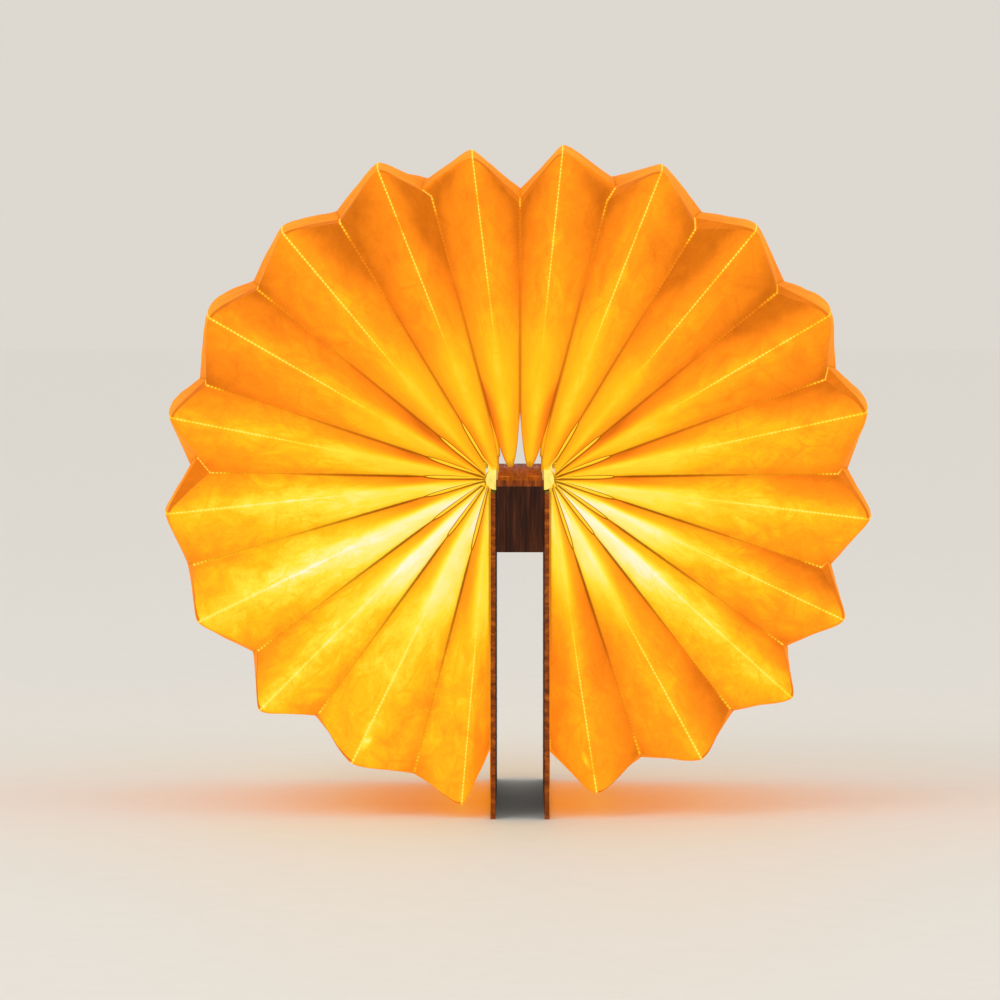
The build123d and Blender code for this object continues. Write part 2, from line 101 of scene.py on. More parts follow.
def addNode(tree, kind, settings=None, **inputs):
    # an input is named, or i and its number
    node = tree.nodes.new("ShaderNode" + kind)
    for key, value in (settings or {}).items():
        setattr(node, key, value)
    for key, value in inputs.items():
        numbered = key[0] == "i" and key[1:].isdigit()
        socket = node.inputs[int(key[1:])] if numbered else node.inputs[key]
        if isinstance(value, bpy.types.NodeSocket):
            tree.links.new(value, socket)
        else:
            socket.default_value = value
    return node


def maths(tree, operation, first, second=0.0, third=0.0, clamp=False):
    node = addNode(tree, "Math", {"operation": operation, "use_clamp": clamp}, i0=first, i1=second, i2=third)
    return node.outputs[0]


def towards(tree, value, goal, share):
    return maths(tree, "MULTIPLY_ADD", maths(tree, "SUBTRACT", goal, value), share, value)


def between(tree, value, low, high, toLow=0.0, toHigh=1.0):
    node = addNode(tree, "MapRange", {"interpolation_type": "SMOOTHSTEP"})
    tree.links.new(value, node.inputs["Value"])
    node.inputs["From Min"].default_value = low
    node.inputs["From Max"].default_value = high
    node.inputs["To Min"].default_value = toLow
    node.inputs["To Max"].default_value = toHigh
    return node.outputs["Result"]


def ramp(tree, value, stops):
    node = tree.nodes.new("ShaderNodeValToRGB")
    tree.links.new(value, node.inputs["Fac"])
    elements = node.color_ramp.elements
    while len(elements) < len(stops):
        elements.new(0.5)
    for element, (place, colour) in zip(elements, stops):
        element.position = place
        element.color = colour
    return node.outputs["Color"]


def blendColours(tree, share, first, second, how="MIX"):
    node = tree.nodes.new("ShaderNodeMix")
    node.data_type = "RGBA"
    node.blend_type = how
    for socket, value in ((node.inputs[0], share), (node.inputs[6], first), (node.inputs[7], second)):
        if isinstance(value, bpy.types.NodeSocket):
            tree.links.new(value, socket)
        else:
            socket.default_value = value
    return node.outputs[2]


def attribute(tree, word):
    return addNode(tree, "Attribute", {"attribute_name": word}).outputs["Fac"]


def objectPlace(tree, scale=(1.0, 1.0, 1.0)):
    place = tree.nodes.new("ShaderNodeTexCoord")
    spread = tree.nodes.new("ShaderNodeMapping")
    spread.inputs["Scale"].default_value = scale
    tree.links.new(place.outputs["Object"], spread.inputs["Vector"])
    return spread.outputs["Vector"]


def clouds(tree, place, scale, detail=3.0, roughness=0.5, distortion=0.0):
    node = tree.nodes.new("ShaderNodeTexNoise")
    tree.links.new(place, node.inputs["Vector"])
    node.inputs["Scale"].default_value = scale
    node.inputs["Detail"].default_value = detail
    node.inputs["Roughness"].default_value = roughness
    node.inputs["Distortion"].default_value = distortion
    return node.outputs["Fac"]


def bump(tree, shader, height, distance, strength=0.5):
    node = tree.nodes.new("ShaderNodeBump")
    node.inputs["Distance"].default_value = distance
    node.inputs["Strength"].default_value = strength
    tree.links.new(height, node.inputs["Height"])
    tree.links.new(node.outputs["Normal"], shader.inputs["Normal"])


# how the light in the sheet turns into colour, from its shaded places to the white-hot ones
glowColours = (
    (0.0, (70, 34, 8)), (0.14, (196, 104, 16)), (0.30, (245, 136, 25)), (0.50, (252, 165, 27)),
    (0.66, (254, 197, 28)), (0.80, (254, 230, 62)), (0.90, (254, 243, 135)), (1.0, (255, 251, 228)),
)
paperLook = {
    "ownLight": 0.86,         # share of the colour that the lamp itself gives
    "bodyShade": (0.26, 0.17, 0.07, 1.0),     # what room light adds, more orange than the glow
    "insideGlow": 0.74,       # the most that the inside glows, seen through the gaps by the hinge
    "darkest": 0.125,
    "cloudScale": 62.0,       # cloudy thick and thin places
    "cloudDetail": (5.0, 0.62, 0.6),
    "cloudDepth": 0.50,
    "fibreScale": 240.0,
    "fibreDetail": (4.0, 0.65, 1.5),
    "fibreDepth": 0.20,
    "fibreRelief": (0.0002, 0.35),
    "creaseScale": 34.0,      # soft handling creases here and there, only as darker lines: painted crease shade
    "creaseWide": 0.045,
    "creaseWhere": (0.47, 0.60),
    "creaseShade": 0.07,
    "holePitch": 0.0020,      # perforations along the folds
    "holeRadius": 0.00060,
    "holeLong": 0.75,
    "holeEdge": (0.6, 1.5),
    "holeGlow": 0.87,
    "holeLift": 0.06,
    "dullHole": 0.45,         # some let less light through
    "dullWhere": (0.30, 0.50),
    "foldGlow": 0.05,         # the pierced folds let more light through
    "foldGlowWide": (0.0004, 0.0022),
    "foldLine": srgb(142, 66, 6),
    "foldWidth": 0.00075,
    "foldEdge": (0.2, 1.7),
    "foldUneven": 0.55,
    "slitGlow": 0.73,         # the narrow openings by the hinge
    "slitEdge": 0.0004,
    "roughness": 0.7,
    "gloss": 0.04,
}
# what the pleats and flaps tell the paper about each of their points
markNames = ("glow", "cloudy", "holes", "lines", "offFold", "offValley", "slit")


def paperMaterial(name, inside=False):
    material, tree, shader = newMaterial(name)
    look = paperLook
    glow, cloudy, holes, lines, offFold, offValley, slit = (attribute(tree, word) for word in markNames)
    coarse = clouds(tree, objectPlace(tree), look["cloudScale"], *look["cloudDetail"])
    fine = clouds(tree, objectPlace(tree), look["fibreScale"], *look["fibreDetail"])
    cells = addNode(tree, "TexVoronoi", {"feature": "DISTANCE_TO_EDGE"}, Vector=objectPlace(tree),
                    Scale=look["creaseScale"])
    crease = maths(tree, "MULTIPLY", between(tree, cells.outputs["Distance"], 0.0, look["creaseWide"], 1.0, 0.0),
                   between(tree, coarse, *look["creaseWhere"]))
    shift = maths(tree, "ADD", maths(tree, "MULTIPLY", maths(tree, "SUBTRACT", coarse, 0.5), look["cloudDepth"]),
                  maths(tree, "MULTIPLY", maths(tree, "SUBTRACT", fine, 0.5), look["fibreDepth"]))
    # the creases darken the glow: painted shade of creases that the sheet's shape does not have
    shift = maths(tree, "SUBTRACT", shift, maths(tree, "MULTIPLY", crease, look["creaseShade"]))
    if inside:
        glow = maths(tree, "MINIMUM", glow, look["insideGlow"])
    pierced = maths(tree, "MULTIPLY", between(tree, offFold, *look["foldGlowWide"], 1.0, 0.0), holes)
    glow = maths(tree, "ADD", glow, maths(tree, "MULTIPLY", pierced, look["foldGlow"]))
    level = maths(tree, "ADD", glow, maths(tree, "MULTIPLY", shift, cloudy), clamp=True)
    level = maths(tree, "MAXIMUM", level, look["darkest"])
    # by the hinge each valley is a bright slit between two brown lines
    offSlit = maths(tree, "SUBTRACT", offValley, slit)
    level = towards(tree, level, look["slitGlow"], between(tree, offSlit, -look["slitEdge"], 0.0, 1.0, 0.0))
    if not inside:
        # rows of pierced holes, lit from behind
        flat = addNode(tree, "UVMap", {"uv_map": "sheet"})
        along = addNode(tree, "SeparateXYZ", None, i0=flat.outputs["UV"]).outputs["X"]
        step = maths(tree, "FRACT", maths(tree, "DIVIDE", along, look["holePitch"]))
        gap = maths(tree, "MULTIPLY", maths(tree, "SUBTRACT", step, 0.5), look["holePitch"] * look["holeLong"])
        away = maths(tree, "SQRT", maths(tree, "ADD", maths(tree, "MULTIPLY", gap, gap),
                                         maths(tree, "MULTIPLY", offFold, offFold)))
        rimIn, rimOut = (share * look["holeRadius"] for share in look["holeEdge"])
        dot = maths(tree, "MULTIPLY", between(tree, away, rimIn, rimOut, 1.0, 0.0),
                    between(tree, coarse, *look["dullWhere"], look["dullHole"], 1.0))
        lit = maths(tree, "MAXIMUM", maths(tree, "ADD", level, look["holeLift"]), look["holeGlow"])
        level = towards(tree, level, lit, maths(tree, "MULTIPLY", dot, holes))
    colour = ramp(tree, level, [(place, srgb(*value)) for place, value in glowColours])
    # valley folds and cut edges draw as thin, uneven brown lines
    uneven = maths(tree, "MULTIPLY", maths(tree, "ABSOLUTE", offSlit), maths(tree, "ADD", look["foldUneven"], fine))
    lineIn, lineOut = (share * look["foldWidth"] for share in look["foldEdge"])
    line = maths(tree, "MULTIPLY", between(tree, uneven, lineIn, lineOut, 1.0, 0.0), lines)
    colour = blendColours(tree, line, colour, look["foldLine"])
    own = blendColours(tree, 1.0, colour, look["bodyShade"], "MULTIPLY")
    tree.links.new(own, shader.inputs["Base Color"])
    tree.links.new(colour, shader.inputs["Emission Color"])
    shader.inputs["Emission Strength"].default_value = look["ownLight"]
    shader.inputs["Roughness"].default_value = look["roughness"]
    shader.inputs["Specular IOR Level"].default_value = look["gloss"]
    bump(tree, shader, fine, *look["fibreRelief"])
    return material


outerPaper = paperMaterial("Glowing paper")
innerPaper = paperMaterial("Glowing paper inside", inside=True)

pleatFan = {
    # crest directions in degrees from straight down, from each cover upwards
    "left": (5.0, 26.0, 45.0, 64.0, 84.0, 101.0, 120.0, 140.0, 158.5, 173.0),
    "right": (8.5, 28.5, 48.0, 64.5, 83.0, 102.0, 120.5, 140.5, 158.5, 174.0),
    "roots": (hingeX,) * 8 + (0.010, 0.004),    # where each crest's line starts, from the middle plane
    "reach": 0.1635,          # hinge to the crests' tips
    "bow": 0.0055,            # how far the crests bow out at mid-length
    "tipRound": 0.0015,
    "barClear": 0.0003,       # the side folds start this far outside the light bars
    "lowCrests": (0.0048, 0.0052, 0.0053),    # where the lowest folds on each side begin at the least
    "lowValleys": (0.0, 0.0052, 0.0053, 0.0053),
    "topStarts": (0.0008, 0.0028),    # where the uppermost two crests on each side begin
    "valleyClear": 0.0012,    # the valleys start a little further out, deep inside
    "flapStart": 0.008,
    "shoulderStart": 0.012,
    "openStart": 0.033,       # the top valleys on each side start out here, so tongues hang over the lid
    "slitEnd": 0.0375,        # how far the slits reach, how much less the upper ones, and their half width
    "slitShort": 0.0045,
    "slitWide": 0.00090,
    "tongue": 1.45,           # how round the tongues' ends are
    "bevelDepth": 0.028,      # how far in from the end the corner crease comes out on the side
    "plainInset": 0.004,      # how much nearer in it starts where a valley has no measures of its own
    "bowFrom": (0.0, 0.4),    # shares of the side where a valley's bow sets in and its swing dies out
    "swingEnd": (0.0, 0.7),
    "thick": 0.0003,
    "endSteps": 70,           # mesh columns up the end, round the tip and to mid-length
    "tipSteps": 6,
    "sideSteps": 26,
    "rows": 24,
    "rowCrowd": 1.3,          # rows crowd towards the fold
    # how round the folds are near the hinge, on top, further out, at the tip and along the side
    "hubRound": 0.03,
    "topRound": 0.18,
    "foldRound": 0.05,
    "tipFold": 0.17,
    "sideRound": 0.22,
    # where each of these gives way to the next, from the hinge and then as a share of the side
    "foldFrom": (0.02, 0.115),
    "tipFrom": (0.135, 0.163),
    "sideFrom": (0.0, 0.55),
    "frontFrom": (0.06, 0.11),    # nearer in, the fold lies in the end's own plane
    "hubCrowd": 1.4,          # columns crowd towards the hinge
    "tongueLong": 0.022,
    # how far panels swell in the side: lower ones, and upper ones with what is added where and how wide
    "lowSwell": -0.0008,
    "highSwell": (-0.0024, 0.0043, 115, 27),
    "swellFrom": (0.0, 0.4),
    "swellSkew": 0.8,
    "ruffle": 0.0008,         # unevenness of the sheet, where it sets in, its steps and its finer share
    "ruffleFrom": (0.04, 0.1),
    "ruffleSteps": (3.7, 0.09, 2.6),
    "ruffleFine": (0.5, 2.3),
    "leftSeed": 50,
    # hand folding: how far each crest's tip falls short or stands proud, and each valley's lean in degrees
    "leftTrim": (0.0, -0.0052, 0.0, -0.0008, -0.0008, -0.0008, -0.0012, -0.0025, 0.0030, -0.0010),
    "rightTrim": (-0.0045, -0.0040, -0.0002, -0.0005, -0.0025, -0.0020, -0.0015, -0.0022, 0.0022, 0.0010),
    "leftLean": (-1.0, 0.6, -1.1, -0.2, -1.4, -2.3, -0.9, -0.5, -0.6),
    "rightLean": (-0.4, -0.2, -1.8, -1.9, -1.6, -1.5, -1.2, -0.6, -1.0),
    # where each valley turns the corner: out to here on the end, out to here on the side, and how far it swings
    "leftCorner": ((0.1517, 0.1517, 0.0), (0.1463, 0.1463, 0.0), (0.1450, 0.1455, 0.0), (0.1553, 0.1553, 0.0),
                   (0.1403, 0.1470, 3.0), (0.1497, 0.1505, 0.8), (0.1500, 0.1503, 0.5), (0.1497, 0.1508, 0.3),
                   (0.1458, 0.1500, -1.5)),
    "rightCorner": ((0.1450, 0.1458, 0.0), (0.1463, 0.1470, 0.0), (0.1433, 0.1438, 0.0), (0.1433, 0.1450, 1.5),
                    (0.1442, 0.1463, 1.0), (0.1463, 0.1497, 2.0), (0.1467, 0.1492, 1.2), (0.1455, 0.1500, 1.2),
                    (0.1433, 0.1508, -1.0)),
    # how much more or less each pleat is lit away from the hinge, and how blunt its tip is
    "leftLit": (0.0, 0.0, 0.0, 0.0, 0.0, 0.0, -0.05, 0.0, -0.08, -0.04),
    "rightLit": (0.0, -0.04, 0.0, -0.12, -0.03, 0.0, -0.04, -0.07, 0.0, -0.02),
    "leftBlunt": (0.0, 0.20, 0.05, 0.0, 0.0, 0.0, 0.06, 0.0, 0.0, 0.0),
    "rightBlunt": (0.16, 0.08, 0.0, 0.0, 0.04, 0.0, 0.0, 0.0, 0.0, 0.0),
    # small bright crumples: how far from the hinge and across the pleat, and their size and light
    "leftCrumple": {1: (0.1455, -0.08)},
    "rightCrumple": {0: (0.1445, -0.16)},
    "crumpleSize": (0.0028, 0.08),
    "crumpleGlow": 0.34,
    "nearness": (1.005, 1.010),    # the corner's two ends lie deeper than the tips, so they look smaller
    "panelSpare": 0.0002,     # what a panel is wider than half the widest pleat
    "folded": 0.024,          # share of its width that a closed pleat keeps
}
widestPleat = max(after - before for side in ("left", "right")
                  for before, after in zip(pleatFan[side], pleatFan[side][1:]))
panel = (pleatFan["reach"] + pleatFan["bow"]) * math.sin(math.radians(widestPleat / 2)) + pleatFan["panelSpare"]


def pleatSpokes(side):
    # crests are (root, angle, reach), valleys (root, angle) and the crests beside them
    fan = pleatFan
    crests = [(root, angle, fan["reach"] + trim)
              for root, angle, trim in zip(fan["roots"], fan[side], fan[side + "Trim"])]
    valleys = [((flapFace, 0.0), crests[:1], None)]
    for first, second, lean, corner in zip(crests, crests[1:], fan[side + "Lean"], fan[side + "Corner"]):
        spoke = ((first[0] + second[0]) / 2, (first[1] + second[1]) / 2 + lean)
        valleys.append((spoke, (first, second), corner))
    return crests, valleys + [((0.0, 180.0), crests[-1:], None)]


def spokePoint(spoke, radius, y):
    turn = math.radians(spoke[1])
    return Vector((spoke[0] + radius * math.sin(turn), y, hingeZ - radius * math.cos(turn)))


def average(values):
    return sum(values) / len(values)


def valleyDepth(valley, beside, radius):
    foot = spokePoint(valley, radius, 0)
    width = average([(spokePoint(crest, radius, 0) - foot).length for crest in beside])
    return math.sqrt(max(0.0, panel ** 2 - width ** 2))


def valleyRadius(valley, beside, bow):
    root = spokePoint(valley, 0, 0)
    along = spokePoint(valley, 1, 0) - root
    radii = []
    for crest in beside:
        reach = spokePoint(crest, crest[2] + bow, 0) - root
        ahead = reach.dot(along)
        radii.append(ahead - math.sqrt(max(0.0, panel ** 2 - (reach - along * ahead).length_squared)))
    return average(radii)


def bowAt(y):
    return pleatFan["bow"] * (1 - (y / halfShade) ** 2)


def barReach(spoke, clear):
    # how far from its root a fold's line leaves the light bar's half-round section
    barRadius = barHigh.x - barLow.x + clear
    off = spoke[0] - barLow.x
    ahead = off * math.sin(math.radians(spoke[1]))
    return math.sqrt(ahead ** 2 + barRadius ** 2 - off ** 2) - ahead


def lowStart(word, index):
    # the lowest pleats come to stand over the light bar when their cover is shut, and clear its top
    starts = pleatFan[word]
    return starts[index] if index < len(starts) else 0.0


def crestStart(crest, index):
    # the top folds start over the lid, the side folds round the light bar
    fan = pleatFan
    if index >= len(fan["roots"]) - len(fan["topStarts"]):
        return fan["topStarts"][index - len(fan["roots"])]
    return max(barReach(crest, fan["barClear"]), lowStart("lowCrests", index))


def valleyStart(valley, index):
    fan = pleatFan
    sides = len(fan["roots"]) - len(fan["topStarts"])
    if index > sides:
        return fan["openStart"]
    if index == sides:
        return fan["shoulderStart"]
    if index == 0:
        return fan["flapStart"]
    return max(barReach(valley, fan["valleyClear"]), lowStart("lowValleys", index))


def valleyPoint(valley, beside, corner, start, column):
    fan = pleatFan
    end = -halfShade
    plain = valleyRadius(valley, beside, 0.0)
    inner, outer, swing = corner or (plain / fan["nearness"][0] - fan["plainInset"], plain / fan["nearness"][1], 0.0)
    inner *= fan["nearness"][0]
    outer *= fan["nearness"][1]
    if column <= fan["endSteps"]:
        radius = mix(start, inner, (column / fan["endSteps"]) ** fan["hubCrowd"])
        return spokePoint(valley, radius, end + valleyDepth(valley, beside, radius)), radius
    first = spokePoint(valley, inner, end + valleyDepth(valley, beside, inner))
    turned = (valley[0], valley[1] + swing)
    second = spokePoint(turned, outer, end + fan["bevelDepth"])
    if column <= fan["endSteps"] + fan["tipSteps"]:
        share = tipShare(column)
        return first.lerp(second, share), mix(inner, outer, share)
    share = (column - fan["endSteps"] - fan["tipSteps"]) / fan["sideSteps"]
    y = mix(end + fan["bevelDepth"], 0.0, share)
    radius = outer + bowAt(y) * smooth(*fan["bowFrom"], share)
    turned = (valley[0], valley[1] + swing * (1 - smooth(*fan["swingEnd"], share)))
    return spokePoint(turned, radius, y), radius


def tipShare(column):
    # columns crowd towards both corner creases
    return (1 - math.cos((column - pleatFan["endSteps"]) / pleatFan["tipSteps"] * math.pi)) / 2


def crestPoint(crest, hubRadius, column):
    fan = pleatFan
    end = -halfShade
    if column <= fan["endSteps"]:
        share = (column / fan["endSteps"]) ** fan["hubCrowd"]
        radius = mix(hubRadius, crest[2] - fan["tipRound"], share)
        return spokePoint(crest, radius, end), radius
    if column <= fan["endSteps"] + fan["tipSteps"]:
        turn = tipShare(column) * math.pi / 2
        radius = crest[2] - fan["tipRound"] * (1 - math.sin(turn))
        return spokePoint(crest, radius, end + fan["tipRound"] * (1 - math.cos(turn))), radius
    y = mix(end + fan["tipRound"], 0.0, (column - fan["endSteps"] - fan["tipSteps"]) / fan["sideSteps"])
    radius = crest[2] + bowAt(y)
    return spokePoint(crest, radius, y), radius


paperLight = {
    # light by the hinge, half way out and at the rim: its base, what is added low down, the direction
    # of that in degrees from straight down, and its width
    "zones": ((0.69, 0.29, 48, 46), (0.56, 0.27, 60, 45), (0.45, 0.24, 55, 55)),
    "middleFrom": (0.055, 0.105),     # from the hinge, where the next zone takes over
    "rimFrom": (0.095, 0.150),
    "hubDim": 0.06,           # a little darker right by the hinge
    "hubEnd": (0.010, 0.032),
    "ownFrom": (0.05, 0.09),  # where each pleat's own difference sets in
    "panelFrom": (0.0, 0.75),     # across the fold, where a panel's own shade sets in
    "closeEnd": (0.022, 0.038),
    "sideEnd": (118, 142),    # up to here directions count as sideways, and from here as the top
    "topFrom": (160, 174),
    # shade of the upper and the lower panels: further out, near the hinge on top, and near it sideways
    "upperShade": (0.14, 0.10, 0.36),
    "lowerShade": (0.12, 0.16, 0.05),
    "upperBand": (0.18, 0.040, 0.014),
    "bandFrom": (30, 48),
    "bandEnd": (125, 140),
    "lowerClose": (-0.12, 0.10),
    "closeFrom": (85, 125),
    "closeTop": 0.15,
    "valleyShade": 0.10,
    "valleyFrom": (0.7, 1.0),
    # the lamp's left half: brighter at mid-height, on its low upper panels and its lowest lower panel
    "leftWaist": (0.06, 72, 26),
    "leftUpper": 0.16,
    "leftUpperFrom": (0.06, 0.09),
    "leftUpperEnd": (30, 44),
    "leftLower": (0.12, 0.085, 0.03),
    "leftLowerEnd": (8, 20),
    # its right half: darker at the foot, near the hinge and further out
    "rightFoot": (18, 14),
    "rightFootShade": (0.22, 0.08),
    "rightFootTurn": (0.10, 0.125),
    "rightFootFrom": (0.045, 0.07),
    # dark outer ends of the upper panels
    "outerFrom": (0.105, 0.135),
    "leftOuter": 0.12,
    "leftOuterFrom": (120, 138),
    "rightOuter": 0.14,
    "rightOuterFrom": (12, 26),
    "rightOuterEnd": (145, 155),
    "tipShade": 0.10,
    "tipFrom": (0.148, 0.164),
    # round the corner: the side's glow at the fold, what it loses by the valley, the upper corner, the dip
    "sideGlow": 0.48,
    "sideLoss": 0.14,
    "upperCorner": 0.24,
    "cornerDip": 0.06,
    "least": 0.19,
}


def paperGlow(side, index, radius, across, column):
    # how bright the lit sheet looks: white-hot low by the hinge, orange at the rim and over the top
    fan, light = pleatFan, paperLight
    angle = fan[side][index]
    hub, middle, rim = (base + added * hill(angle, *where) for base, added, *where in light["zones"])
    away = smooth(*light["middleFrom"], radius)
    level = mix(mix(hub, middle, away), rim, smooth(*light["rimFrom"], radius))
    level -= light["hubDim"] * (1 - smooth(*light["hubEnd"], radius))
    out = smooth(*light["ownFrom"], radius)
    level += fan[side + "Lit"][index] * out
    # the upward panel of each low fold is its dark one near the hinge; the top folds are even
    high, low = smooth(*light["panelFrom"], across), smooth(*light["panelFrom"], -across)
    near, close = 1 - away, 1 - smooth(*light["closeEnd"], radius)
    sideways, top = 1 - smooth(*light["sideEnd"], angle), smooth(*light["topFrom"], angle)
    farHigh, topHigh, sideHigh = light["upperShade"]
    farLow, topLow, sideLow = light["lowerShade"]
    band, *bandPlace = light["upperBand"]
    level -= high * (mix(farHigh, mix(topHigh, sideHigh, sideways), near)
                     + band * hill(radius, *bandPlace) * smooth(*light["bandFrom"], angle)
                     * (1 - smooth(*light["bandEnd"], angle)))
    level -= low * (mix(farLow, mix(topLow, sideLow, sideways), near)
                    + close * (mix(*light["lowerClose"], smooth(*light["closeFrom"], angle))
                               + light["closeTop"] * top))
    level -= light["valleyShade"] * smooth(*light["valleyFrom"], abs(across))
    outer = smooth(*light["outerFrom"], radius)
    if side == "left":
        waist, *waistPlace = light["leftWaist"]
        lower, *lowerPlace = light["leftLower"]
        level += waist * hill(angle, *waistPlace) * out
        level += (light["leftUpper"] * high * smooth(*light["leftUpperFrom"], radius)
                  * (1 - smooth(*light["leftUpperEnd"], angle)))
        level += lower * low * hill(radius, *lowerPlace) * (1 - smooth(*light["leftLowerEnd"], angle))
        level -= light["leftOuter"] * high * outer * smooth(*light["leftOuterFrom"], angle) * (1 - top)
    else:
        foot = mix(*light["rightFootShade"], smooth(*light["rightFootTurn"], radius))
        level -= hill(angle, *light["rightFoot"]) * foot * smooth(*light["rightFootFrom"], radius)
        level -= (light["rightOuter"] * high * outer * smooth(*light["rightOuterFrom"], angle)
                  * (1 - smooth(*light["rightOuterEnd"], angle)))
    level -= light["tipShade"] * smooth(*light["tipFrom"], radius) * math.sqrt(abs(across))
    if column > fan["endSteps"]:
        turned = tipShare(column) if column < fan["endSteps"] + fan["tipSteps"] else 1.0
        edge = light["sideGlow"] - light["sideLoss"] * abs(across)
        if across > 0:
            level = light["upperCorner"] if turned < 1 else edge
        else:
            level = mix(level, edge, turned) - light["cornerDip"] * math.sin(math.pi * turned)
    return max(light["least"], min(1.0, level))


pleatMarks = {
    # brown lines in the valleys: on the side, then at the end by the hinge and further out, with its start
    "sideLine": 0.2,
    "hubLine": 0.85,
    "farLine": 0.22,
    "farLineFrom": (0.05, 0.12),
    "upperLine": 0.55,        # the share that upper valleys keep of it, and where
    "upperLineFrom": (92, 120),
    "upperLineOut": (0.030, 0.040),
    "sheetFrom": (0.09, 0.12),    # from here lines are as wide on the sheet, nearer in as seen from the end
    "slitFrom": (-0.010, 0.026),
    "slitUpper": (20, 95),
    "slitTaper": 8,
    "fine": (2.8, 1.2),       # how much finer lines are drawn along the slits and beyond
    "fineFrom": (-0.002, 0.010),
    "tongueRim": 0.005,       # the tongues' ends are lined too
    "tongueLine": 0.5,
    "tongueFine": 0.3,
    "crestHolesFrom": (0.060, 0.100),
    "valleyHoles": (0.25, 0.9),   # fewer until close to the corner
    "valleyHolesFrom": (0.085, 0.110),
    "valleyHolesFull": (0.010, 0.004),
    "plainLastHoles": 0.135,
    "calm": 0.35,             # least cloudiness, by the hinge and where the paper is dark
    "cloudyFrom": (0.05, 0.11),
    "cloudyGlow": (0.20, 0.48),
}


def pointMarks(side, index, valleys, column, across, point, places, lengths):
    # what the paper needs to know about one point of a pleat
    fan, draw = pleatFan, pleatMarks
    (top, radius), (low, lowRadius), (high, highRadius) = places
    foot, valleyR, place = (high, highRadius, index + 1) if across > 0 else (low, lowRadius, index)
    valley, beside, corner = valleys[place]
    width = (foot - top).length
    aside, toValley = abs(across) * width, (1 - abs(across)) * width
    inEnd = column <= fan["endSteps"]
    atBevel = fan["endSteps"] <= column <= fan["endSteps"] + fan["tipSteps"]
    offValley, slit = toValley, 0.0
    line = 0.0 if atBevel else draw["sideLine"]
    if inEnd and not atBevel:
        # as seen from the end: how far off the valley's line, and how wide its slit is there
        root = spokePoint(valley, 0, point.y)
        seen = abs((point - root).cross(spokePoint(valley, 1, point.y) - root).y)
        offValley = mix(seen, toValley, smooth(*draw["sheetFrom"], radius))
        line = mix(draw["hubLine"], draw["farLine"], smooth(*draw["farLineFrom"], valleyR))
        line *= mix(1.0, draw["upperLine"],
                    smooth(*draw["upperLineFrom"], valley[1]) * smooth(*draw["upperLineOut"], valleyR))
        if 0 < place <= len(fan["roots"]) - len(fan["topStarts"]):
            slitEnd = fan["slitEnd"] - fan["slitShort"] * smooth(*draw["slitUpper"], valley[1])
            slit = fan["slitWide"] * smooth(*draw["slitFrom"], valleyR)
            slit *= math.sqrt(max(0.0, 1 - (valleyR / slitEnd) ** draw["slitTaper"]))
            fineFrom, fineTo = (slitEnd + value for value in draw["fineFrom"])
            finer = mix(*draw["fine"], smooth(fineFrom, fineTo, valleyR))
            offValley, slit = offValley * finer, slit * finer
        if onTop(index) and lengths[0] < draw["tongueRim"]:
            offValley, line = min(offValley, draw["tongueFine"] * lengths[0]), draw["tongueLine"]
    if abs(across) < 0.5:
        holes = smooth(*draw["crestHolesFrom"], radius)
    else:
        short, fade = draw["valleyHolesFull"]
        last = corner[0] - short if corner else draw["plainLastHoles"]
        holes = 1.0 if atBevel else mix(*draw["valleyHoles"], smooth(last, last + fade, valleyR)) * inEnd
        holes *= smooth(*draw["valleyHolesFrom"], valleyR)
    glow = paperGlow(side, index, radius, across, column)
    if index in fan[side + "Crumple"]:
        (crumpleR, crumpleAcross), (long, wide) = fan[side + "Crumple"][index], fan["crumpleSize"]
        off = Vector(((radius - crumpleR) / long, (across - crumpleAcross) / wide))
        glow += fan["crumpleGlow"] * math.exp(-off.length_squared) * inEnd
    cloudy = (mix(draw["calm"], 1.0, smooth(*draw["cloudyFrom"], radius))
              * mix(draw["calm"], 1.0, smooth(*draw["cloudyGlow"], glow)))
    return glow, cloudy, holes, line, min(aside, toValley), offValley, slit


def onTop(index):
    return pleatFan["roots"][index] < hingeX


def rise(share, roundness):
    # a hyperbola, from flat on one side of a fold to straight up on the other
    return (share + math.sqrt(share * share + roundness * roundness)) / 2


